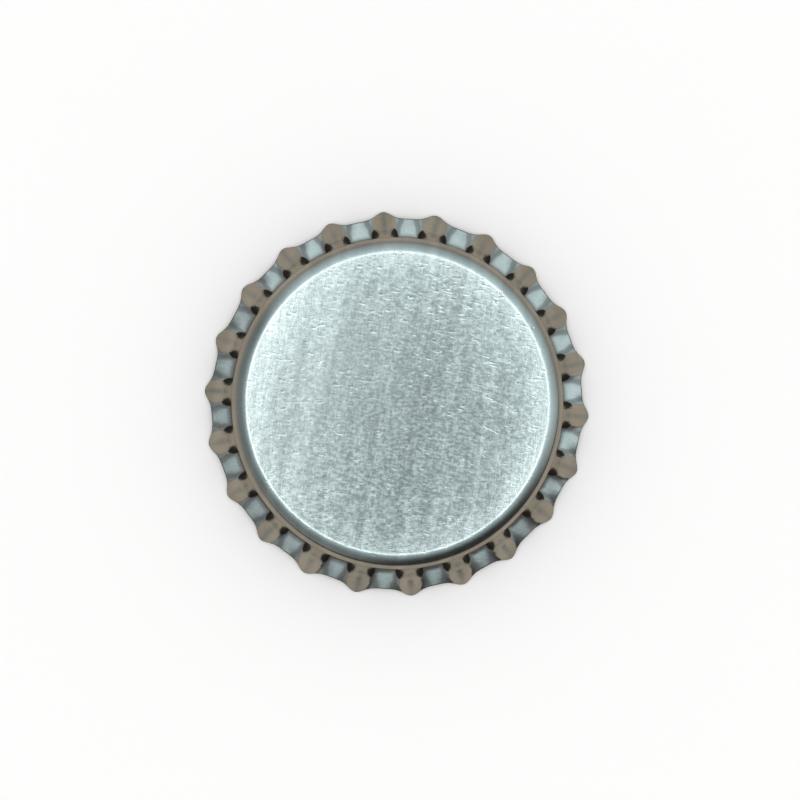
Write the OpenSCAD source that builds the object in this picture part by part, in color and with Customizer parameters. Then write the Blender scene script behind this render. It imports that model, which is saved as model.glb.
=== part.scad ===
// Crown cap for a bottle: a pressed tinplate shell with a moulded sealing liner.
// It stands on its flute tips, mouth down, with a flute on +X. Millimetres and degrees.

/* [Cap] */
// Outside diameter over the flute tips
cap_d = 32.1; // [24:0.1:40]
// Overall height from the flute tips to the middle of the top
cap_h = 6; // [5.6:0.1:7]
// Number of flutes round the skirt
flutes = 22; // [15:1:24]

/* [Sheet and top] */
// Thickness of the tinplate
sheet_t = 0.235; // [0.15:0.005:0.3]
// Outside radius of the slightly domed top
dome_r = 170; // [120:5:400]
// Outside radius of the shoulder between the top and the wall
shoulder_r = 1.5; // [1.2:0.05:1.8]

/* [Valleys] */
// How far a valley's edge lies inside the circle of the tips
valley_in = 0.63; // [0.4:0.01:0.8]
// Height of a valley's upper edge above the flute tips
valley_lift = 0.7; // [0.5:0.05:0.8]
// Outside radius of the bend where a valley turns outward
flare_r = 0.75; // [0.6:0.05:1]
// Slope of the flared valley floor from the horizontal
flare_slope = 18; // [14:1:24]

/* [Flutes] */
// How far a flute tip stands out from the plain wall under the shoulder
flute_reach = 2.45; // [2.3:0.05:3]
// Slope of a flute's ridge at its tip, from the horizontal
tip_slope = 46; // [40:1:47]
// Length of the straight part of the ridge above the tip
tip_len = 2; // [1.6:0.1:2.2]
// Outside radius of the bend where the ridge turns outward
ridge_bend_r = 1.5; // [1:0.1:1.6]
// Width of a flute at half its depth, just under the shoulder
flute_w_top = 1.3; // [1:0.05:1.6]
// Width where the valley starts to turn outward
flute_w_mid = 1.45; // [1.2:0.05:1.7]
// Width where the valley's floor starts, by how far the flute reaches outward
flute_w_low = 1.75; // [1.5:0.05:2]
// Width there by how far the flute drops below the valley
drop_w_low = 1.95; // [1.6:0.05:2.2]
// Width along the cut edge, by how far the flute reaches outward
flute_w_edge = 1.5; // [1.2:0.05:1.8]
// Width there by how far the flute drops below the valley
drop_w_edge = 2.4; // [1.6:0.05:2.6]

/* [Liner] */
// Gap between the liner's rim and the inside of the plain wall
liner_gap = 0.65; // [0.5:0.05:1.5]
// Thickness of the web that lines the top
web_t = 0.3; // [0.2:0.05:0.5]
// Depth of the sealing ring below the edge of the web
seal_drop = 0.5; // [0.3:0.05:0.7]
// Width of the flat sealing ring
seal_w = 1.9; // [1.2:0.1:3]
// Width of the slope between the web and the sealing ring
seal_slope_w = 0.6; // [0.4:0.05:1]
// Width of the bevel round the liner's rim
rim_bevel_w = 0.5; // [0.3:0.05:0.6]
// Film of adhesive between the liner and the shell
bond_t = 0.03; // [0.02:0.01:0.06]

/* [Hidden] */

shell_colour = [0.74, 0.78, 0.79];
liner_colour = [0.86, 0.87, 0.84];

// Share of the half pitch at each column of the skirt, close together on the flute
column_steps = [0, 0.17, 0.35, 0.56, 1];
// Rings on the top and round the shoulder
dome_rings = 3;
shoulder_rings = 3;
// Share of the way down the skirt at each of its rings, closest where it bends outward
skirt_steps = [0.09, 0.29, 0.49, 0.57, 0.65, 0.74, 0.87, 1];
// Stations down a flute: the shoulder, the valley's bend, the valley's floor, the cut edge
stations = [0, 0.5, 0.77, 1];
// How flat-topped and steep-sided the flute is at each station, in reach and in drop
reach_flatness = [2.4, 4.5, 2.7, 2];
drop_flatness = [2.4, 4.5, 3, 2.8];
// Small step, in degrees and in share of the skirt, for the direction of the sheet
nudge = 0.01;
// Points on the back of the liner, from the middle to the rim
back_steps = 16;
// Points on the face of its web
web_steps = 8;

tip_r = cap_d / 2;
neck_r = tip_r - flute_reach;
valley_r = tip_r - valley_in;
pitch = 360 / flutes;

function blend(a, b, k) = a + k * (b - a);
// Eases from 0 to 1 as s goes from a to b
function ease(a, b, s) = let (k = min(1, max(0, (s - a) / (b - a)))) k * k * (3 - 2 * k);
// A point at radius p[0] and height p[1], turned to angle a
function turned(a, p) = [p[0] * cos(a), p[0] * sin(a), p[1]];

// The shoulder arc touches the dome on its inside and the plain wall
shoulder_c = neck_r - shoulder_r;
shoulder_z = cap_h - dome_r + sqrt((dome_r - shoulder_r) ^ 2 - shoulder_c ^ 2);
dome_edge_a = 90 - asin(shoulder_c / (dome_r - shoulder_r));
function shoulder_point(a, r) = [shoulder_c + r * cos(a), shoulder_z + r * sin(a)];

// A flute's ridge leaves the shoulder in a straight line, bends outward and runs
// straight to its tip. The cap stands on the inner corner of the cut edge, so the
// outer corner lies a little above the ground.
tip_z = sheet_t * cos(tip_slope);
bend_end = [tip_r - tip_len * cos(tip_slope), tip_z + tip_len * sin(tip_slope)];
bend_c = bend_end + ridge_bend_r * [sin(tip_slope), cos(tip_slope)];
way = bend_c - [shoulder_c, shoulder_z];
leave_a = atan2(way[1], way[0]) + acos((shoulder_r + ridge_bend_r) / norm(way));
leave_point = shoulder_point(leave_a, shoulder_r);
bend_start = bend_c - ridge_bend_r * [cos(leave_a), sin(leave_a)];
bend_turn = 90 - tip_slope - leave_a;
line_end = norm(bend_start - leave_point);
ridge_bend_end = line_end + ridge_bend_r * bend_turn * PI / 180;
ridge_len = ridge_bend_end + tip_len;

// A valley runs round the rest of the shoulder, down the plain wall, round the
// flare and out along the sloping floor
flare_turn = 90 - flare_slope;
floor_len = (valley_r - neck_r - flare_r * (1 - cos(flare_turn))) / cos(flare_slope);
flare_z = valley_lift + floor_len * sin(flare_slope) + flare_r * sin(flare_turn);
arc_end = shoulder_r * leave_a * PI / 180;
wall_end = arc_end + shoulder_z - flare_z;
flare_end = wall_end + flare_r * flare_turn * PI / 180;
valley_len = flare_end + floor_len;

// Radius and height at a share s of the way down a ridge or a valley
function crest(s) =
    let (d = s * ridge_len)
    d < line_end ? leave_point + d * [sin(leave_a), -cos(leave_a)] :
    d < ridge_bend_end ?
        let (a = leave_a + bend_turn * (d - line_end) / (ridge_bend_end - line_end))
        bend_c - ridge_bend_r * [cos(a), sin(a)] :
    [tip_r, tip_z] - (ridge_len - d) * [cos(tip_slope), -sin(tip_slope)];
function valley(s) =
    let (d = s * valley_len)
    d < arc_end ? shoulder_point(leave_a * (1 - d / arc_end), shoulder_r) :
    d < wall_end ? [neck_r, shoulder_z - (d - arc_end)] :
    d < flare_end ?
        let (a = flare_turn * (d - wall_end) / (flare_end - wall_end))
        [neck_r + flare_r * (1 - cos(a)), flare_z - flare_r * sin(a)] :
    [valley_r, valley_lift] - (valley_len - d) * [cos(flare_slope), -sin(flare_slope)];

// A flute is narrow at the shoulder, steep-sided where the valley bends outward
// and a soft point at the edge
reach_widths = [flute_w_top, flute_w_mid, flute_w_low, flute_w_edge];
drop_widths = [flute_w_top, flute_w_mid, drop_w_low, drop_w_edge];
function along_flute(values, s, k = 0) =
    k < 2 && s > stations[k + 1] ? along_flute(values, s, k + 1) :
    blend(values[k], values[k + 1], ease(stations[k], stations[k + 1], s));
function flute_share(u, s, widths, flatness) =
    let (half_a = along_flute(widths, s) / 2 / valley(s)[0] * 180 / PI)
    exp(-ln(2) * (abs(u) / half_a) ^ along_flute(flatness, s));
// Radius and height, u degrees from a ridge
function skirt_place(u, s) = [
    blend(valley(s)[0], crest(s)[0], flute_share(u, s, reach_widths, reach_flatness)),
    blend(valley(s)[1], crest(s)[1], flute_share(u, s, drop_widths, drop_flatness)),
];

// The skirt's two faces, u degrees from a crest and a share s of the way down
function skirt_outer(u, s) = turned(u, skirt_place(u, s));
function skirt_inner(u, s) =
    let (round_way = skirt_outer(u + nudge, s) - skirt_outer(u - nudge, s),
         down_way = skirt_outer(u, min(1, s + nudge)) - skirt_outer(u, max(0, s - nudge)),
         out_way = cross(down_way, round_way))
    skirt_outer(u, s) - sheet_t * out_way / norm(out_way);

// The round part's face at depth t under the outside, ring by ring from the middle
round_rings = dome_rings + shoulder_rings;
function round_point(ring, t) =
    ring <= dome_rings ?
        let (a = blend(90, dome_edge_a, ring / dome_rings))
        [0, cap_h - dome_r] + (dome_r - t) * [cos(a), sin(a)] :
    let (a = blend(dome_edge_a, leave_a, (ring - dome_rings) / shoulder_rings))
    shoulder_point(a, shoulder_r - t);

// Columns from one crest to the next: angle of the crest, and angle from it
half_steps = len(column_steps) - 1;
columns = [
    for (flute = [0 : flutes - 1]) each [
        for (k = [0 : half_steps]) [flute * pitch, column_steps[k] * pitch / 2],
        for (k = [half_steps - 1 : -1 : 1])
            [(flute + 1) * pitch, -column_steps[k] * pitch / 2],
    ],
];
turns_z = [for (c = columns) [[cos(c[0]), -sin(c[0]), 0], [sin(c[0]), cos(c[0]), 0], [0, 0, 1]]];
across = len(columns);

// Rings of points: down the outside, over the cut edge and back up the inside
shell_rings = [
    for (ring = [1 : round_rings])
        [for (c = columns) turned(c[0] + c[1], round_point(ring, 0))],
    for (s = skirt_steps)
        [for (k = [0 : across - 1]) turns_z[k] * skirt_outer(columns[k][1], s)],
    for (k = [len(skirt_steps) - 1 : -1 : 0])
        [for (j = [0 : across - 1]) turns_z[j] * skirt_inner(columns[j][1], skirt_steps[k])],
    for (ring = [round_rings : -1 : 1])
        [for (c = columns) turned(c[0] + c[1], round_point(ring, sheet_t))],
];
ring_points = [for (ring = shell_rings) each ring];
top_middle = len(ring_points);
under_middle = top_middle + 1;
shell_points = [each ring_points, [0, 0, cap_h], [0, 0, cap_h - sheet_t]];

function at(ring, k) = ring * across + k % across;
last_ring = len(shell_rings) - 1;
shell_faces = [
    for (k = [0 : across - 1]) [top_middle, at(0, k + 1), at(0, k)],
    for (ring = [0 : last_ring - 1], k = [0 : across - 1]) each [
        [at(ring, k), at(ring, k + 1), at(ring + 1, k + 1)],
        [at(ring, k), at(ring + 1, k + 1), at(ring + 1, k)],
    ],
    for (k = [0 : across - 1]) [under_middle, at(last_ring, k), at(last_ring, k + 1)],
];

// Height of the shell's inside above radius r, less the film of adhesive
function back_z(r) =
    let (bend_r = shoulder_r - sheet_t - bond_t)
    r < shoulder_c + bend_r * cos(dome_edge_a) ?
        cap_h - dome_r + sqrt((dome_r - sheet_t - bond_t) ^ 2 - r ^ 2) :
    shoulder_z + sqrt(bend_r ^ 2 - (r - shoulder_c) ^ 2);

liner_r = neck_r - sheet_t - liner_gap;
seal_out_r = liner_r - rim_bevel_w;
seal_in_r = seal_out_r - seal_w;
web_r = seal_in_r - seal_slope_w;
seal_z = back_z(web_r) - web_t - seal_drop;
rim_z = blend(seal_z, back_z(liner_r), 0.5);

module shell() {
    color(shell_colour)
        polyhedron(points = shell_points, faces = shell_faces, convexity = 6);
}

module liner() {
    color(liner_colour)
        rotate_extrude($fn = 180)
            polygon([
                for (k = [0 : web_steps])
                    let (r = web_r * k / web_steps) [r, back_z(r) - web_t],
                [seal_in_r, seal_z],
                [seal_out_r, seal_z],
                [liner_r, rim_z],
                for (k = [back_steps : -1 : 0])
                    let (r = liner_r * k / back_steps) [r, back_z(r)],
            ]);
}

shell();
liner();
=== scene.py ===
import math

import bpy
import mathutils
import numpy as np
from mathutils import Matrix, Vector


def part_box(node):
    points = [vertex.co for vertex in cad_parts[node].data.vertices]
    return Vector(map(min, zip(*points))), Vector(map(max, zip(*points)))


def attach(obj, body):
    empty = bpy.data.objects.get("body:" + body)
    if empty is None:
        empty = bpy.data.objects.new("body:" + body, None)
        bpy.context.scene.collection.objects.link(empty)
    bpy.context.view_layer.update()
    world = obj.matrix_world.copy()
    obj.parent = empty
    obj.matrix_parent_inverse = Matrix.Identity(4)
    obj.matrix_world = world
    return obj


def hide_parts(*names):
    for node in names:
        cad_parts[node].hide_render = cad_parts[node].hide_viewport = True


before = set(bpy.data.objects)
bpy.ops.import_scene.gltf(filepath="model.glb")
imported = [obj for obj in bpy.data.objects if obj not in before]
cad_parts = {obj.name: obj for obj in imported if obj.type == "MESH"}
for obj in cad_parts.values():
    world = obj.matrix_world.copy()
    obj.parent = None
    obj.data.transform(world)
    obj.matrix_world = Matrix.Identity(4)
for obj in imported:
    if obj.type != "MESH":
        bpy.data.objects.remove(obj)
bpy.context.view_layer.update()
mm = 0.001
print("frame loaded, CAD nodes:", ", ".join(sorted(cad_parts)))


def blend(a, b, k):
    return a + k * (b - a)


def ease(a, b, x):
    k = np.clip((x - a) / (b - a), 0, 1)
    return k * k * (3 - 2 * k)


def direction(azimuth, fromTop):
    a, t = math.radians(azimuth), math.radians(fromTop)
    return (math.sin(t) * math.cos(a), math.sin(t) * math.sin(a), math.cos(t))


# a small kit for wiring shader nodes

class Wiring:
    def __init__(self, tree):
        self.tree = tree
        tree.nodes.clear()

    def node(self, kind, **settings):
        made = self.tree.nodes.new("ShaderNode" + kind)
        for name, value in settings.items():
            setattr(made, name, value)
        return made

    def feed(self, socket, value):
        if isinstance(value, bpy.types.NodeSocket):
            self.tree.links.new(value, socket)
        elif value is not None:
            isColour = isinstance(value, tuple) and socket.type == "RGBA"
            socket.default_value = (*value, 1) if isColour else value

    def math(self, operation, a, b=None, c=None):
        made = self.node("Math", operation=operation)
        for socket, value in zip(made.inputs, (a, b, c)):
            self.feed(socket, value)
        return made.outputs[0]

    def vector(self, operation, a, b=None):
        made = self.node("VectorMath", operation=operation)
        self.feed(made.inputs[0], a)
        self.feed(made.inputs[1], b)
        return made.outputs["Value" if operation in ("DOT_PRODUCT", "LENGTH", "DISTANCE") else "Vector"]

    def span(self, value, low, high, toLow=0.0, toHigh=1.0):
        # carries low..high smoothly over to toLow..toHigh and holds still outside
        made = self.node("MapRange", interpolation_type="SMOOTHSTEP")
        limits = {"Value": value, "From Min": low, "From Max": high, "To Min": toLow, "To Max": toHigh}
        for name, x in limits.items():
            self.feed(made.inputs[name], x)
        return made.outputs["Result"]

    def mix(self, share, a, b, how="MIX"):
        made = self.node("Mix", data_type="RGBA", blend_type=how)
        self.feed(made.inputs["Factor"], share)
        self.feed([s for s in made.inputs if s.name == "A" and s.type == "RGBA"][0], a)
        self.feed([s for s in made.inputs if s.name == "B" and s.type == "RGBA"][0], b)
        return [s for s in made.outputs if s.type == "RGBA"][0]

    def ramp(self, value, stops):
        made = self.node("ValToRGB")
        made.color_ramp.interpolation = "EASE"
        elements = made.color_ramp.elements
        elements.remove(elements[-1])
        for i, (place, colour) in enumerate(stops):
            element = elements[0] if i == 0 else elements.new(place)
            element.position = place
            element.color = (*colour, 1)
        self.feed(made.inputs["Fac"], value)
        return made.outputs["Color"]

    def millimetres(self, turn=0):
        # place on the piece in millimetres, turned about the cap's middle
        coords = self.node("TexCoord")
        made = self.node("Mapping", vector_type="POINT")
        made.inputs["Rotation"].default_value = (0, 0, math.radians(turn))
        made.inputs["Scale"].default_value = (1 / mm, 1 / mm, 1 / mm)
        self.feed(made.inputs["Vector"], coords.outputs["Object"])
        return made.outputs["Vector"]

    def noise(self, place, scale, detail=2.0, rough=0.5):
        stretched = self.vector("MULTIPLY", place, scale)
        made = self.node("TexNoise")
        self.feed(made.inputs["Vector"], stretched)
        made.inputs["Scale"].default_value = 1
        made.inputs["Detail"].default_value = detail
        made.inputs["Roughness"].default_value = rough
        return made.outputs["Fac"]

    def attribute(self, name):
        return self.node("Attribute", attribute_name=name).outputs["Fac"]

    def bump(self, height, depth):
        made = self.node("Bump")
        made.inputs["Strength"].default_value = 1
        made.inputs["Distance"].default_value = depth
        self.feed(made.inputs["Height"], height)
        return made.outputs["Normal"]


def newMaterial(name):
    material = bpy.data.materials.new(name)
    material.use_nodes = True
    wires = Wiring(material.node_tree)
    surface = wires.node("BsdfPrincipled")
    out = wires.node("OutputMaterial")
    wires.feed(out.inputs["Surface"], surface.outputs["BSDF"])
    return material, wires, surface


def sweep(name, rings, ends, turned=False):
    # skins the rings in order and closes both ends with a fan; turned faces the skin the other way
    count, around = rings.shape[:2]
    faces = []
    for a in range(0, (count - 1) * around, around):
        for j in range(around):
            k = (j + 1) % around
            faces.append((a + j, a + around + j, a + around + k, a + k))
    first, last = count * around, (count - 1) * around
    for j in range(around):
        k = (j + 1) % around
        faces.append((first, j, k))
        faces.append((first + 1, last + k, last + j))
    if turned:
        faces = [(face[0], *face[:0:-1]) for face in faces]
    mesh = bpy.data.meshes.new(name)
    mesh.from_pydata(rings.reshape(-1, 3).tolist() + ends, [], faces)
    mesh.shade_smooth()
    made = bpy.data.objects.new(name, mesh)
    bpy.context.scene.collection.objects.link(made)
    return made


# shell: one pressing, swept down the outside, round the cut edge and back up the inside
shellPlan = {
    "flutes": 22,
    "sheet": 0.235 * mm,
    "domeRadius": 170 * mm,
    "shoulderRadius": 1.5 * mm,
    "valleyIn": 0.63 * mm,         # how far a valley's edge lies inside the tips
    "valleyLift": 0.7 * mm,        # how high it hangs over the ground
    "flareRadius": 0.75 * mm,
    "flareSlope": 18,              # degrees from flat, a valley's floor
    "fluteReach": 2.45 * mm,       # from the plain wall out to the tips
    "tipLength": 2.0 * mm,
    "ridgeBend": 1.5 * mm,
    "tipSlope": 46,                # degrees from flat, a flute's ridge at its tip
    # along a flute: at the shoulder, at the valley's bend, at its floor, at the cut edge
    "stations": (0, 0.5, 0.77, 1),
    "reachWidths": (1.3 * mm, 1.45 * mm, 1.75 * mm, 1.5 * mm),
    "reachFlatness": (2.4, 4.5, 2.7, 2.0),
    "dropWidths": (1.3 * mm, 1.45 * mm, 1.95 * mm, 2.4 * mm),
    "dropFlatness": (2.4, 4.5, 3.0, 2.8),
    "edgeRound": 0.08 * mm,
    # how fine the mesh is
    "perFlute": 44,                # steps across a flute and its valley
    "outside": (6, 14, 40),        # rings on the dome, round the shoulder, down the skirt
    "inside": (3, 5, 16),
    "edge": 4,                     # rings round each corner of the cut edge
    # how uneven the pressing is
    "seed": 11,
    "waves": (2, 5, 8, 13),        # swings in one turn round the cap
    "unevenTips": 0.03 * mm,
    "unevenValleys": 0.06 * mm,
    "unevenWidths": 0.05,
    "lean": 0.35,                  # degrees a flute may lean sideways
    "tipLift": 0.3,                # a short tip also stands higher, by this share
    # where the sheet was worked: 1 is the dome's edge and 2 the end of the shoulder
    "worked": (0.96, 1.3),
    # what follows goes by the share of the way down the skirt
    "rubbedAndPaintedLight": (0.1, 0.4),          # where the valleys get their rubbed, duller look and their painted light
    "fluteShine": 0.75,            # how much shinier a flute is than a valley
    "ridgeReflectionFrom": (0.3, 0.5),
    "ridgeReflectionWidth": 0.9,            # degrees, half the width of the painted reflection line down a ridge
    "ridgeReflectionStrength": (0.35, 1.0),        # how strong that line is, from flute to flute
    # painted shade and dark reflections in the recesses: how far down, then its limits towards the valley
    # and towards the ridge
    "paintedShade": ((0.1, 0.62, 0.86), (0.3, 0.55, 0.93), (0.52, 0.12, 0.9), (0.76, 0.74, 0.8)),
    "paintedShadeDepth": (0.3, 0.8, 1, 1),  # how thick it lies at each of those places
    "paintedShadeSoft": 0.08,
    "paintedShadeSpread": 0.45,
    "footShade": 0.55,             # painted shade along the foot of the wall
    "footBand": (0.48, 0.56, 0.62, 0.73),
    "neckShade": 0.28,             # painted shade where the flutes leave the shoulder
    "neckBand": (0, 0.03, 0.06, 0.16),
    "sideShade": 0.38,             # painted shade on the sides of the flutes
    "sideBand": (0.04, 0.16, 0.36, 0.56),  # from a valley's 0 to a ridge's 1
    "sideFrom": (0.5, 0.6),
}


def wobble(angle, rng):
    # a slow uneven swing round the cap, between 0 and 1
    total = 0
    for w in shellPlan["waves"]:
        total = total + math.sin(1 + w) * np.cos(w * angle + rng.uniform(0, 2 * math.pi)) / (1 + w / 8)
    return (total - total.min()) / (total.max() - total.min())


def between(limits, x):
    # rises from 0 to 1 over the first two limits and falls back over the last two
    a, b, c, d = limits
    return ease(a, b, x) * (1 - ease(c, d, x))


def paintedShadeAt(s, share):
    # how thick the painted shade lies, s of the way down the skirt; share is 1 on a flute's ridge, 0 in a
    # valley
    plan = shellPlan
    down, towardsValley, towardsRidge = zip(*plan["paintedShade"])
    soft = plan["paintedShadeSoft"]
    low, high = np.interp(s, down, towardsValley), np.interp(s, down, towardsRidge)
    corner = between((low - soft, low + soft, high - soft, high + soft), share ** plan["paintedShadeSpread"])
    corner = corner * (1 - ease(down[-1] - soft, down[-1], s)) * np.interp(s, down, plan["paintedShadeDepth"])
    foot = plan["footShade"] * between(plan["footBand"], s) * (1 - share)
    neck = plan["neckShade"] * between(plan["neckBand"], s) * np.ones_like(share)
    side = plan["sideShade"] * between(plan["sideBand"], share) * ease(*plan["sideFrom"], s)
    return np.maximum.reduce([corner, foot, neck, side])


def normals(points):
    roundWay = np.roll(points, -1, axis=1) - np.roll(points, 1, axis=1)
    downWay = np.gradient(points, axis=0)
    out = np.cross(downWay, roundWay)
    return out / np.linalg.norm(out, axis=2, keepdims=True)


class ShellShape:
    def __init__(self, sizes, tipRadius, height):
        self.sizes, self.tipRadius, self.height = sizes, tipRadius, height
        rho, dome = sizes["shoulderRadius"], sizes["domeRadius"]
        self.neck = tipRadius - sizes["fluteReach"]
        self.valleyEdge = tipRadius - sizes["valleyIn"]
        self.centreR = self.neck - rho
        self.centreZ = height - dome + math.sqrt((dome - rho) ** 2 - self.centreR**2)
        self.domeEdge = math.pi / 2 - math.asin(self.centreR / (dome - rho))
        self.setRidge()
        self.setValley()

    def setRidge(self):
        # straight off the shoulder, round a bend, straight to the tip
        sizes, rho, bend = self.sizes, self.sizes["shoulderRadius"], self.sizes["ridgeBend"]
        self.tipSlope = math.radians(sizes["tipSlope"])
        self.tipZ = sizes["sheet"] * math.cos(self.tipSlope)
        along = np.array([-math.cos(self.tipSlope), math.sin(self.tipSlope)])
        across = np.array([math.sin(self.tipSlope), math.cos(self.tipSlope)])
        bendEnd = np.array([self.tipRadius, self.tipZ]) + sizes["tipLength"] * along
        self.bendCentre = bendEnd + bend * across
        way = self.bendCentre - np.array([self.centreR, self.centreZ])
        self.leave = math.atan2(way[1], way[0]) + math.acos((rho + bend) / np.hypot(*way))
        out = np.array([math.cos(self.leave), math.sin(self.leave)])
        self.leavePoint = np.array([self.centreR, self.centreZ]) + rho * out
        self.ridgeLine = np.hypot(*(self.bendCentre - bend * out - self.leavePoint))
        self.ridgeBendEnd = self.ridgeLine + bend * (math.pi / 2 - self.tipSlope - self.leave)
        self.ridgeLength = self.ridgeBendEnd + sizes["tipLength"]

    def setValley(self):
        # round the rest of the shoulder, down the plain wall, round the flare, out along the floor
        sizes, flare = self.sizes, self.sizes["flareRadius"]
        self.floorSlope = math.radians(sizes["flareSlope"])
        turn = math.pi / 2 - self.floorSlope
        floor = (self.valleyEdge - self.neck - flare * (1 - math.cos(turn))) / math.cos(self.floorSlope)
        self.flareZ = sizes["valleyLift"] + floor * math.sin(self.floorSlope) + flare * math.sin(turn)
        self.arcEnd = sizes["shoulderRadius"] * self.leave
        self.wallEnd = self.arcEnd + self.centreZ - self.flareZ
        self.flareEnd = self.wallEnd + flare * turn
        self.valleyLength = self.flareEnd + floor

    def ridge(self, s):
        d, bend = s * self.ridgeLength, self.sizes["ridgeBend"]
        a = self.leave + (d - self.ridgeLine) / bend
        rest = self.ridgeLength - d
        parts = [d < self.ridgeLine, d < self.ridgeBendEnd]
        startR, startZ = self.leavePoint
        lineR, lineZ = startR + d * math.sin(self.leave), startZ - d * math.cos(self.leave)
        bendR, bendZ = self.bendCentre[0] - bend * np.cos(a), self.bendCentre[1] - bend * np.sin(a)
        r = np.select(parts, [lineR, bendR], self.tipRadius - rest * math.cos(self.tipSlope))
        z = np.select(parts, [lineZ, bendZ], self.tipZ + rest * math.sin(self.tipSlope))
        return r, z

    def valley(self, s):
        d, rho, flare = s * self.valleyLength, self.sizes["shoulderRadius"], self.sizes["flareRadius"]
        top = self.leave * (1 - d / self.arcEnd)
        a = (d - self.wallEnd) / flare
        rest = self.valleyLength - d
        parts = [d < self.arcEnd, d < self.wallEnd, d < self.flareEnd]
        r = np.select(parts, [self.centreR + rho * np.cos(top), self.neck + 0 * d,
                              self.neck + flare * (1 - np.cos(a))],
                      self.valleyEdge - rest * math.cos(self.floorSlope))
        z = np.select(parts, [self.centreZ + rho * np.sin(top), self.centreZ - (d - self.arcEnd),
                              self.flareZ - flare * np.sin(a)],
                      self.sizes["valleyLift"] + rest * math.sin(self.floorSlope))
        return r, z

    def alongFlute(self, values, s):
        stations = self.sizes["stations"]
        found = np.full(s.shape, float(values[0]))
        for i in range(len(stations) - 1):
            part = ease(stations[i], stations[i + 1], s)
            found = np.where(s >= stations[i], blend(values[i], values[i + 1], part), found)
        return found

    def fluteShare(self, u, s, wider, kind):
        # 1 on a flute's ridge, 0 in a valley; its reach outward and its drop have their own widths
        half = self.alongFlute(self.sizes[kind + "Widths"], s) * wider / 2 / self.valley(s)[0]
        flatness = self.alongFlute(self.sizes[kind + "Flatness"], s)
        return np.exp(-math.log(2) * (np.abs(u) / half) ** flatness)

    def roundPart(self, k):
        # k runs from 0 in the middle to 1 at the dome's edge, then to 2 where the flutes start
        rho, dome = self.sizes["shoulderRadius"], self.sizes["domeRadius"]
        a = blend(math.pi / 2, self.domeEdge, k) if k < 1 else blend(self.domeEdge, self.leave, k - 1)
        if k < 1:
            return dome * math.cos(a), self.height - dome + dome * math.sin(a)
        return self.centreR + rho * math.cos(a), self.centreZ + rho * math.sin(a)


def cutEdge(outer, outward):
    # from the last outer ring round two small corners to the inner face, and where that face ends
    rounding, steps = shellPlan["edgeRound"], shellPlan["edge"]
    down = outer[-1] - outer[-2]
    down /= np.linalg.norm(down, axis=1, keepdims=True)
    inside = outer[-1] - shellPlan["sheet"] * outward
    turns = [math.pi / 2 * i / steps for i in range(1, steps + 1)]
    edge = [outer[-1] + rounding * (math.sin(a) * down - (1 - math.cos(a)) * outward) for a in turns]
    edge += [inside + rounding * (math.sin(a) * down + (1 - math.cos(a)) * outward) for a in turns[::-1]]
    return np.array(edge), inside


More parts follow.
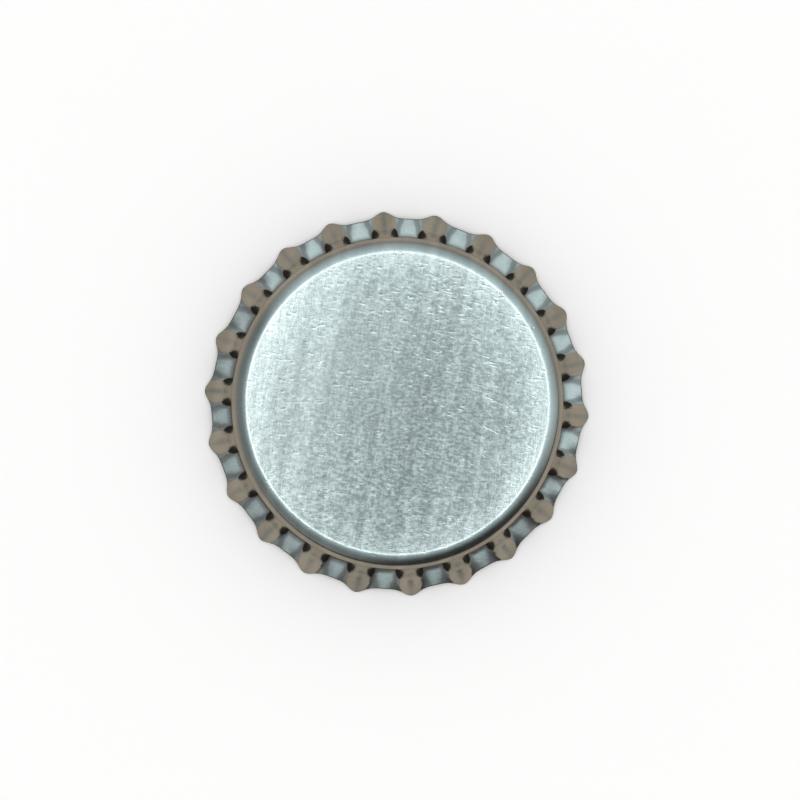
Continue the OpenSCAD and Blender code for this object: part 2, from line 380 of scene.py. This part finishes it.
def makeShell():
    plan = shellPlan
    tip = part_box("shell")[1]
    shape = ShellShape(plan, tip.x, tip.z)
    rng = np.random.default_rng(plan["seed"])
    flutes = plan["flutes"]
    across = flutes * plan["perFlute"]
    pitch = 2 * math.pi / flutes
    angle = np.arange(across) * 2 * math.pi / across
    flute = np.floor((angle + pitch / 2) / pitch).astype(int) % flutes
    u = (angle + pitch / 2) % pitch - pitch / 2        # angle from the flute's ridge
    wider = 1 + plan["unevenWidths"] * rng.uniform(-1, 1, flutes)[flute]
    ridgeReflectionStrength = rng.uniform(*plan["ridgeReflectionStrength"], flutes)[flute]
    lean = math.radians(plan["lean"]) * rng.uniform(-1, 1, flutes)[flute] * (1 - (2 * u / pitch) ** 2)
    tipLoss = plan["unevenTips"] * wobble(angle, rng)
    valleyRise = plan["unevenValleys"] * (wobble(angle, rng) - 0.5)
    nothing = np.zeros(across)

    def around(r, z):
        return np.stack([r * np.cos(angle), r * np.sin(angle), z + nothing], axis=-1)

    def skirt(s):
        every = np.full(across, s)
        valleyR, valleyZ = shape.valley(every)
        ridgeR, ridgeZ = shape.ridge(every)
        reach, drop = (shape.fluteShare(u - lean * s, every, wider, kind) for kind in ("reach", "drop"))
        r = blend(valleyR, ridgeR - tipLoss * s, reach)
        z = blend(valleyZ + valleyRise * s, ridgeZ + plan["tipLift"] * tipLoss * s, drop)
        return around(r, z), drop

    def face(rings, lastShare):
        # the rings of one side, with what they carry for the finish: painted shade, working and the
        # painted reflection down each ridge
        points, marks = [], []
        domeRings, shoulderRings, skirtRings = rings
        steps = [i / domeRings for i in range(1, domeRings + 1)]
        steps += [1 + i / shoulderRings for i in range(1, shoulderRings + 1)]
        for step in steps:
            r, z = shape.roundPart(step)
            points.append(around(r, z))
            marks.append(np.stack([nothing, nothing + ease(*plan["worked"], step), nothing]))
        for i in range(1, skirtRings + 1):
            s = lastShare * i / skirtRings
            ring, share = skirt(s)
            points.append(ring)
            # 1 round the shoulder, 2 in a valley
            worked = 1 + ease(*plan["rubbedAndPaintedLight"], s) * (1 - plan["fluteShine"] * share)
            line = np.exp(-((u / math.radians(plan["ridgeReflectionWidth"])) ** 2))
            ridgeReflection = ridgeReflectionStrength * line * ease(*plan["ridgeReflectionFrom"], s)
            marks.append(np.stack([paintedShadeAt(s, share), worked, ridgeReflection]))
        return np.array(points), np.array(marks)

    lastShare = 1 - plan["edgeRound"] / shape.valleyLength
    outer, outerMarks = face(plan["outside"], lastShare)
    inner, innerMarks = face(plan["inside"], lastShare)
    inner = inner - plan["sheet"] * normals(inner)
    edge, inner[-1] = cutEdge(outer, normals(outer)[-1])
    edgeMarks = np.stack([outerMarks[-1]] * len(edge))
    edgeMarks[:, 0] = 0                                # no painted shade on the cut edge
    rings = np.concatenate([outer, edge, inner[::-1]])
    marks = np.concatenate([outerMarks, edgeMarks, innerMarks[::-1]])
    rings[..., 2] = np.maximum(rings[..., 2], 0)       # nothing sinks into the ground
    shell = sweep("pressedShell", rings, [[0, 0, tip.z], [0, 0, tip.z - plan["sheet"]]])
    mesh = shell.data
    slots = np.repeat((0, 1, 2), (len(outer) - 1, len(edge), len(inner)))
    slots = np.append(np.repeat(slots, across), np.tile((0, 2), across))
    mesh.polygons.foreach_set("material_index", slots)
    for i, name in enumerate(("paintedShade", "worked", "ridgeReflection")):
        layer = mesh.attributes.new(name, "FLOAT", "POINT")
        layer.data.foreach_set("value", np.append(marks[:, i].ravel(), [0, 0]).astype(np.float32))
    print("shell pressed:", len(mesh.polygons), "faces")
    return shell


tinplateLook = {
    # the tin's grey, with a cool cast painted in for the cool room light it mirrors
    "tin": (0.7, 0.752, 0.755),
    "roughness": (0.15, 0.25),     # on a bright spot, in a dull one
    "grainTurn": 5,                # degrees the rolling direction is turned from Y
    # marks a millimetre: across the grain, along it, and up and down
    "alongMarks": (6.5, 1.7, 2),
    "acrossMarks": (2.5, 4.4, 2),
    "speckMarks": (9, 9, 9),
    "threadMarks": (5, 0.3, 1),
    "bandMarks": (0.8, 0.07, 0.3),
    "cloudMarks": (1.1, 0.8, 0.8),
    "dashMarks": (1.25, 4.6, 1.5),
    "glintMarks": 1.7,
    "dashFrom": (0.58, 0.72),      # level of the pattern where a scratch starts, and where it is full
    "crowdFrom": (0.4, 0.6),       # they crowd together in clouds
    "glintSize": (0.06, 0.17),     # a glint fades out between these, as shares of a cell
    # heights in thousandths of a millimetre
    "strokeHeight": 3.2,           # fine strokes both ways, as on linen
    "speckHeight": 0.6,            # of the specks, as a share of the strokes'
    "dashDepth": 6.5,              # short scratches across the grain
    "nickDepth": 30,
    # how far each kind of mark lightens or darkens the tin
    "alongTone": 0.46,
    "acrossTone": 0.44,
    "speckTone": 0.45,
    "threadTone": 0.3,
    "cloudTone": 0.32,
    # painted highlight and shade on the scratches' sides
    "dashPaintedLight": 0.38,
    "glintTone": 0.3,
    "bandTone": (0.9, 1.06),
    "workedShare": 0.2,            # how much of all this is left where the sheet was worked
    "shoulderShine": 0.55,         # roughness round the shoulder, as a share of the top's
    "skirtDullness": 0.14,         # roughness added on the skirt
    "glintWhite": 0.6,             # how far the painted glints go to white
    "valleyPaintedLight": 1.08,            # painted light: how much lighter a valley is painted, for the lamp light it mirrors
    # cool tint of the painted reflection down the ridges
    "ridgeReflectionTint": (0.64, 0.71, 0.75),
    # painted shade and dark reflections: near-black laid into the recesses
    "paintedShadeColour": (0.04, 0.033, 0.028),
    "paintedShadeCover": 0.98,
    "paintedShadeDullness": 0.3,          # roughness added under full painted shade
    # small nicks: millimetres from the middle, direction in degrees, height and size in millimetres
    "nicks": ((12.3, 51, 5.5, 0.22), (12.6, 33, 5.45, 0.2), (13.35, -35, 4.9, 0.14)),
}


def makeTinplate():
    look = tinplateLook
    material, wires, surface = newMaterial("tinplate")
    place = wires.millimetres(look["grainTurn"])
    worked = wires.attribute("worked")
    along = wires.noise(place, look["alongMarks"], rough=0.6)
    across = wires.noise(place, look["acrossMarks"])
    speck = wires.noise(place, look["speckMarks"], detail=1)
    threads = wires.noise(place, look["threadMarks"], detail=1)
    bands = wires.noise(place, look["bandMarks"], detail=1)
    clouds = wires.noise(place, look["cloudMarks"], rough=0.6)

    def dashes(shift):
        moved = wires.vector("ADD", place, (0.02, shift, 0))
        return wires.span(wires.noise(moved, look["dashMarks"], detail=1.5), *look["dashFrom"])

    crowd = wires.span(clouds, *look["crowdFrom"], 0.3, 1)
    scratch = wires.math("MULTIPLY", dashes(0), crowd)
    # each scratch gets a painted highlight beside it and painted shade in it, as if lit from one side
    scratchPaintedLight = wires.math("SUBTRACT", wires.math("MULTIPLY", dashes(0.1), crowd), scratch)
    # painted glints: bright specks laid into the tin's colour
    cells = wires.node("TexVoronoi")
    wires.feed(cells.inputs["Vector"], place)
    cells.inputs["Scale"].default_value = look["glintMarks"]
    glints = wires.span(cells.outputs["Distance"], *look["glintSize"], 1, 0)
    glints = wires.math("MULTIPLY", glints, wires.span(along, 0.5, 0.6))

    onTop = wires.span(worked, 0, 1, 1, look["workedShare"])
    height = wires.math("ADD", along, across)
    height = wires.math("MULTIPLY_ADD", speck, look["speckHeight"], height)
    height = wires.math("MULTIPLY", wires.math("MULTIPLY", height, look["strokeHeight"]), onTop)
    height = wires.math("MULTIPLY_ADD", wires.math("MULTIPLY", scratch, onTop), -look["dashDepth"], height)
    for distance, turn, up, size in look["nicks"]:
        a = math.radians(turn)
        nick = (distance * math.cos(a), distance * math.sin(a), up)
        away = wires.vector("DISTANCE", wires.millimetres(), nick)
        height = wires.math("ADD", height, wires.span(away, 0, size, -look["nickDepth"], 0))

    # tone: every kind of mark swings about the plain tin
    tone = wires.math("MULTIPLY", scratchPaintedLight, look["dashPaintedLight"])
    tone = wires.math("MULTIPLY_ADD", glints, look["glintTone"], tone)
    marks = {"along": along, "across": across, "speck": speck, "thread": threads, "cloud": clouds}
    for name, mark in marks.items():
        tone = wires.math("MULTIPLY_ADD", wires.math("SUBTRACT", mark, 0.5), look[name + "Tone"], tone)
    tone = wires.math("MULTIPLY_ADD", tone, onTop, 1)
    tone = wires.math("MULTIPLY", tone, wires.span(bands, 0.35, 0.65, *look["bandTone"]))
    tone = wires.math("MULTIPLY", tone, wires.span(worked, 1, 2, 1, look["valleyPaintedLight"]))
    shade = wires.node("CombineColor")
    for socket in shade.inputs[:3]:
        wires.feed(socket, tone)
    colour = wires.mix(1.0, look["tin"], shade.outputs["Color"], "MULTIPLY")
    white = wires.math("MULTIPLY", wires.math("MULTIPLY", glints, onTop), look["glintWhite"])
    colour = wires.mix(white, colour, (0.95, 0.95, 0.95))
    # painted reflection: a cool line down each flute's ridge
    ridgeReflection = wires.math("MULTIPLY", wires.attribute("ridgeReflection"), wires.span(speck, 0.3, 0.6, 0.6, 1))
    colour = wires.mix(ridgeReflection, colour, wires.mix(1.0, colour, look["ridgeReflectionTint"], "MULTIPLY"))
    # painted shade: darkens the recesses and the corners of the flutes towards near-black
    shadeMask = wires.span(wires.attribute("paintedShade"), 0.1, 0.7, 0, look["paintedShadeCover"])
    wires.feed(surface.inputs["Base Color"], wires.mix(shadeMask, colour, look["paintedShadeColour"]))
    surface.inputs["Metallic"].default_value = 1
    dull = wires.span(across, 0.3, 0.7, *look["roughness"])
    dull = wires.math("MULTIPLY", dull, wires.span(worked, 0, 1, 1, look["shoulderShine"]))
    dull = wires.math("ADD", dull, wires.span(worked, 1, 2, 0, look["skirtDullness"]))
    wires.feed(surface.inputs["Roughness"], wires.math("MULTIPLY_ADD", shadeMask, look["paintedShadeDullness"], dull))
    wires.feed(surface.inputs["Normal"], wires.bump(height, 0.001 * mm))
    return material


cutEdgeLook = {
    # bare steel, darkened and browned: the brown is a painted reflection of the warm table
    "bareSteelAndTableReflection": (0.17, 0.135, 0.105),
    "dark": (0.1, 0.08, 0.062),
    "roughness": 0.38,
    "shearMarks": (3, 3, 14),      # a millimetre
    "shearDepth": 0.004 * mm,
}


def makeCutEdge():
    look = cutEdgeLook
    material, wires, surface = newMaterial("cutSteelEdge")
    shear = wires.noise(wires.millimetres(), look["shearMarks"])
    colour = wires.mix(wires.span(shear, 0.3, 0.7), look["bareSteelAndTableReflection"], look["dark"])
    wires.feed(surface.inputs["Base Color"], colour)
    surface.inputs["Metallic"].default_value = 1
    surface.inputs["Roughness"].default_value = look["roughness"]
    wires.feed(surface.inputs["Normal"], wires.bump(shear, look["shearDepth"]))
    return material


lacquerLook = {
    "metal": (0.72, 0.69, 0.61),
    "pale": (0.78, 0.76, 0.69),
    "roughness": (0.22, 0.32),
    "coat": 0.4,
    "coatRoughness": 0.12,
    "flowMarks": (0.7, 0.7, 0.7),  # a millimetre
    "peelMarks": (4, 4, 4),
    "peelHeight": 0.002 * mm,
}


def makeLacquer():
    look = lacquerLook
    material, wires, surface = newMaterial("lacqueredInside")
    place = wires.millimetres()
    flow = wires.noise(place, look["flowMarks"], detail=3)
    peel = wires.noise(place, look["peelMarks"])
    colour = wires.mix(wires.span(flow, 0.35, 0.65), look["metal"], look["pale"])
    wires.feed(surface.inputs["Base Color"], colour)
    surface.inputs["Metallic"].default_value = 1
    wires.feed(surface.inputs["Roughness"], wires.span(peel, 0.3, 0.7, *look["roughness"]))
    surface.inputs["Coat Weight"].default_value = look["coat"]
    surface.inputs["Coat Roughness"].default_value = look["coatRoughness"]
    wires.feed(surface.inputs["Normal"], wires.bump(peel, look["peelHeight"]))
    return material


shell = makeShell()
for made in (makeTinplate(), makeCutEdge(), makeLacquer()):
    shell.data.materials.append(made)
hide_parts("shell")
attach(shell, "root")
print("shell finished in tinplate")

# liner: moulded in place, with rings that seal on the lip
linerPlan = {
    "webThickness": 0.3 * mm,
    "sealWidth": 1.9 * mm,
    "slopeWidth": 0.6 * mm,
    "bevelWidth": 0.5 * mm,
    "bevelCurve": 1.6,             # 1 would be a straight bevel
    "rimHeight": 0.5,              # share of the way from the seal up to the back
    "grooves": 3,
    "grooveDepth": 0.14 * mm,
    # fine raised rings left by the moulding punch
    "webRings": (3.2 * mm, 6.1 * mm),
    "webRingHeight": 0.05 * mm,
    "webRingWidth": 0.16 * mm,
    "gateRadii": (0.42 * mm, 0.7 * mm),
    "gateDepth": 0.09 * mm,
    # shallow vent marks round the web
    "vents": 3,
    "ventTurn": 0.4,               # radians
    "ventOut": 8.1 * mm,
    "ventRadii": (0.55 * mm, 0.7 * mm),
    "ventDepth": 0.05 * mm,
    # how fine the mesh is
    "around": 192,
    "frontRings": 150,
    "backRings": 24,
}


def makeLiner():
    plan = linerPlan
    low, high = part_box("liner")
    radius, sealZ = high.x, low.z
    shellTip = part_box("shell")[1]
    shape = ShellShape(shellPlan, shellTip.x, shellTip.z)
    gap = shape.height - shellPlan["sheet"] - high.z       # film of adhesive
    bendR = shellPlan["shoulderRadius"] - shellPlan["sheet"] - gap
    dome = shellPlan["domeRadius"] - shellPlan["sheet"] - gap
    sealOut = radius - plan["bevelWidth"]
    sealIn = sealOut - plan["sealWidth"]
    slopeIn = sealIn - plan["slopeWidth"]

    def backZ(r):
        onDome = r < shape.centreR + bendR * math.cos(shape.domeEdge)
        domeZ = shape.height - shellPlan["domeRadius"] + np.sqrt(dome**2 - r**2)
        bendZ = shape.centreZ + np.sqrt(np.maximum(bendR**2 - np.maximum(r - shape.centreR, 0) ** 2, 0))
        return np.where(onDome, domeZ, bendZ)

    rimZ = blend(sealZ, float(backZ(np.array(radius))), plan["rimHeight"])

    def frontZ(r):
        web = backZ(np.minimum(r, slopeIn)) - plan["webThickness"]
        z = blend(web, sealZ, ease(slopeIn, sealIn, r))
        # round grooves cut the flat ring into beads, whose crests stay at the seal's height
        k = np.clip((r - sealIn) / (sealOut - sealIn), 0, 1)
        inSeal = (r > sealIn) & (r < sealOut)
        z = z + np.where(inSeal, plan["grooveDepth"] * np.sin(math.pi * plan["grooves"] * k) ** 2, 0)
        bevel = np.maximum((r - sealOut) / (radius - sealOut), 0) ** plan["bevelCurve"]
        z = np.where(r > sealOut, blend(sealZ, rimZ, bevel), z)
        for ring in plan["webRings"]:
            z = z - plan["webRingHeight"] * np.exp(-(((r - ring) / plan["webRingWidth"]) ** 2))
        return z + plan["gateDepth"] * (1 - ease(*plan["gateRadii"], r))

    angle = np.arange(plan["around"]) * 2 * math.pi / plan["around"]

    def ringAt(r, z):
        return np.stack([r * np.cos(angle), r * np.sin(angle), z + 0 * angle], axis=-1)

    rings = []
    for r in np.linspace(0, radius, plan["frontRings"] + 1)[1:]:
        ring = ringAt(r, float(frontZ(np.array(r))))
        for v in range(plan["vents"]):
            turn = 2 * math.pi * v / plan["vents"] + plan["ventTurn"]
            middle = plan["ventOut"] * np.array([math.cos(turn), math.sin(turn)])
            away = np.hypot(*(ring[:, :2] - middle).T)
            ring[:, 2] += plan["ventDepth"] * (1 - ease(*plan["ventRadii"], away))
        rings.append(ring)
    for r in np.linspace(radius, 0, plan["backRings"] + 2)[:-1]:
        rings.append(ringAt(r, float(backZ(np.array(r)))))
    rings = np.array(rings)
    rings[..., 2] = np.clip(rings[..., 2], low.z, high.z)
    ends = [[0, 0, float(frontZ(np.array(0.0)))], [0, 0, high.z]]
    liner = sweep("mouldedLiner", rings, ends, turned=True)
    print("liner moulded:", len(liner.data.polygons), "faces")
    return liner


compoundLook = {
    "pale": (0.80, 0.81, 0.77),
    "deep": (0.765, 0.778, 0.735),
    "roughness": (0.36, 0.5),
    "subsurface": 0.12,
    "subsurfaceReach": (0.6 * mm, 0.6 * mm, 0.5 * mm),
    "coat": 0.15,
    "coatRoughness": 0.3,
    "flowMarks": (0.35, 0.35, 0.35),   # a millimetre
    "grainMarks": (7, 7, 7),
    "grainHeight": 0.006 * mm,
}


def makeCompound():
    look = compoundLook
    material, wires, surface = newMaterial("sealingCompound")
    place = wires.millimetres()
    flow = wires.noise(place, look["flowMarks"], detail=3, rough=0.55)
    grain = wires.noise(place, look["grainMarks"])
    colour = wires.mix(wires.span(flow, 0.35, 0.65), look["pale"], look["deep"])
    wires.feed(surface.inputs["Base Color"], colour)
    wires.feed(surface.inputs["Roughness"], wires.span(grain, 0.3, 0.7, *look["roughness"]))
    surface.inputs["Subsurface Weight"].default_value = look["subsurface"]
    surface.inputs["Subsurface Radius"].default_value = look["subsurfaceReach"]
    surface.inputs["Subsurface Scale"].default_value = 1
    surface.inputs["Coat Weight"].default_value = look["coat"]
    surface.inputs["Coat Roughness"].default_value = look["coatRoughness"]
    wires.feed(surface.inputs["Normal"], wires.bump(grain, look["grainHeight"]))
    return material


liner = makeLiner()
liner.data.materials.append(makeCompound())
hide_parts("liner")
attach(liner, "root")
print("liner finished in sealing compound")

# studio: the camera sees a pale floor, the metal mirrors a warm table and a dim room with a round lamp
floorLook = {
    "halfWidth": 2,                # metres, far past the view
    "pale": (0.935, 0.935, 0.93),
    "roughness": 0.9,
    # what the metal mirrors, by distance from the middle of the cap in millimetres
    "mirrored": ((0, (0.375, 0.308, 0.24)), (19, (0.375, 0.308, 0.24)), (26, (0.35, 0.29, 0.232)),
                 (36, (0.26, 0.235, 0.2)), (60, (0.24, 0.235, 0.215))),
    "reach": 60,
    "darkAzimuth": 292,            # a dark figure stands on this side
    "darkFrom": 21,
    "darkTo": 44,
    "darkTint": (0.14, 0.14, 0.13),
}


def makeFloor():
    mesh = bpy.data.meshes.new("floor")
    half = floorLook["halfWidth"]
    corners = [(-half, -half, 0), (half, -half, 0), (half, half, 0), (-half, half, 0)]
    mesh.from_pydata(corners, [], [(0, 1, 2, 3)])
    floor = bpy.data.objects.new("floor", mesh)
    bpy.context.scene.collection.objects.link(floor)
    material, wires, surface = newMaterial("paleFloor")
    place = wires.millimetres()
    stops = [(distance / floorLook["reach"], colour) for distance, colour in floorLook["mirrored"]]
    away = wires.math("DIVIDE", wires.vector("LENGTH", place), floorLook["reach"])
    table = wires.ramp(away, stops)
    side = wires.vector("DOT_PRODUCT", place, direction(floorLook["darkAzimuth"], 90))
    table = wires.mix(wires.span(side, floorLook["darkFrom"], floorLook["darkTo"]), table,
                      wires.mix(1.0, table, floorLook["darkTint"], "MULTIPLY"))
    path = wires.node("LightPath")
    colour = wires.mix(path.outputs["Is Glossy Ray"], floorLook["pale"], table)
    wires.feed(surface.inputs["Base Color"], colour)
    surface.inputs["Roughness"].default_value = floorLook["roughness"]
    surface.inputs["Specular IOR Level"].default_value = 0
    mesh.materials.append(material)


roomLook = {
    "softLight": 1.06,
    # mirrored room by angle from straight up, on its light side and on its dim side
    "lightSide": (
        (0, (0.335, 0.375, 0.38)),
        (4, (0.34, 0.392, 0.402)),
        (8, (0.43, 0.508, 0.518)),
        (12, (0.45, 0.535, 0.545)),
        (17, (1.5, 1.64, 1.64)),       # round lamp
        (25, (1.45, 1.6, 1.6)),
        (31, (0.72, 0.83, 0.85)),
        (42, (0.54, 0.63, 0.64)),
        (56, (0.43, 0.5, 0.51)),
        (74, (0.34, 0.385, 0.385)),
        (84, (0.31, 0.3, 0.27)),
        (90, (0.3, 0.26, 0.22)),
    ),
    "dimSide": (
        (0, (0.335, 0.375, 0.38)),
        (4, (0.335, 0.386, 0.396)),
        (8, (0.42, 0.496, 0.506)),
        (12, (0.44, 0.523, 0.533)),
        (17, (1.7, 1.84, 1.84)),       # round lamp
        (22, (1.65, 1.8, 1.8)),
        (28, (0.5, 0.58, 0.59)),
        (34, (0.38, 0.44, 0.445)),
        (46, (0.23, 0.265, 0.265)),
        (60, (0.17, 0.195, 0.195)),
        (76, (0.185, 0.195, 0.185)),
        (90, (0.235, 0.205, 0.17)),
    ),
    "lightAzimuth": 64,
    "lightEdge": (-0.05, 0.5),     # where the dim side turns light, 0 is a quarter turn from the azimuth
    # patches of the room: azimuth, angle from straight up, inner and outer half-width, tint
    "patches": (
        (168, 9, 3, 12, (1.75, 1.68, 1.66)),
        (265, 10, 3, 15, (0.76, 0.77, 0.77)),
        (300, 92, 18, 54, (0.16, 0.155, 0.15)),
    ),
}


def makeRoom():
    world = bpy.data.worlds.new("room")
    bpy.context.scene.world = world
    world.use_nodes = True
    wires = Wiring(world.node_tree)
    coords = wires.node("TexCoord")
    split = wires.node("SeparateXYZ")
    wires.feed(split.inputs[0], coords.outputs["Generated"])
    fromTop = wires.math("DIVIDE", wires.math("ARCCOSINE", split.outputs["Z"]), math.pi / 2)
    level = wires.vector("NORMALIZE", wires.vector("MULTIPLY", coords.outputs["Generated"], (1, 1, 0)))
    side = wires.vector("DOT_PRODUCT", level, direction(roomLook["lightAzimuth"], 90))
    side = wires.span(side, *roomLook["lightEdge"])
    light = wires.ramp(fromTop, [(angle / 90, tint) for angle, tint in roomLook["lightSide"]])
    dim = wires.ramp(fromTop, [(angle / 90, tint) for angle, tint in roomLook["dimSide"]])
    colour = wires.mix(side, dim, light)
    for azimuth, angle, inner, outer, tint in roomLook["patches"]:
        near = wires.vector("DOT_PRODUCT", coords.outputs["Generated"], direction(azimuth, angle))
        share = wires.span(near, math.cos(math.radians(outer)), math.cos(math.radians(inner)))
        colour = wires.mix(share, colour, wires.mix(1.0, colour, tint, "MULTIPLY"))
    mirrored = wires.node("Background")
    wires.feed(mirrored.inputs["Color"], colour)
    soft = wires.node("Background")
    soft.inputs["Color"].default_value = (1, 1, 1, 1)
    soft.inputs["Strength"].default_value = roomLook["softLight"]
    path = wires.node("LightPath")
    either = wires.node("MixShader")
    wires.feed(either.inputs[0], path.outputs["Is Glossy Ray"])
    wires.feed(either.inputs[1], soft.outputs[0])
    wires.feed(either.inputs[2], mirrored.outputs[0])
    out = wires.node("OutputWorld")
    wires.feed(out.inputs["Surface"], either.outputs[0])


cameraSetup = {
    "distance": 250 * mm,
    "fieldWidth": 66.63 * mm,      # across the frame at the ground
    "roll": 4.02,                  # degrees the cap is turned from the frame's right-hand side
    "leanAzimuth": 229,            # the camera stands a little to this side of straight up
    "lean": 1.0,
    "aimRight": 0.26 * mm,         # from the middle of the cap, along the frame
    "aimUp": 0.32 * mm,
    "sensor": 36,
}


def makeCamera():
    setup = cameraSetup
    back = np.array(direction(setup["leanAzimuth"], setup["lean"]))
    roll = math.radians(setup["roll"])
    right = np.array([math.cos(roll), math.sin(roll), 0])
    right = right - back * right.dot(back)
    right /= np.linalg.norm(right)
    up = np.cross(back, right)
    aim = setup["aimRight"] * right + setup["aimUp"] * up
    place = aim + setup["distance"] * back
    data = bpy.data.cameras.new("overhead")
    data.sensor_width = setup["sensor"]
    data.lens = setup["sensor"] * setup["distance"] / setup["fieldWidth"]
    data.clip_start = 0.01
    camera = bpy.data.objects.new("overhead", data)
    rows = [(right[i], up[i], back[i], place[i]) for i in range(3)]
    camera.matrix_world = mathutils.Matrix((*rows, (0, 0, 0, 1)))
    bpy.context.scene.collection.objects.link(camera)
    bpy.context.scene.camera = camera


makeFloor()
makeRoom()
makeCamera()
bpy.context.scene.view_settings.view_transform = "Standard"
print("studio set up")
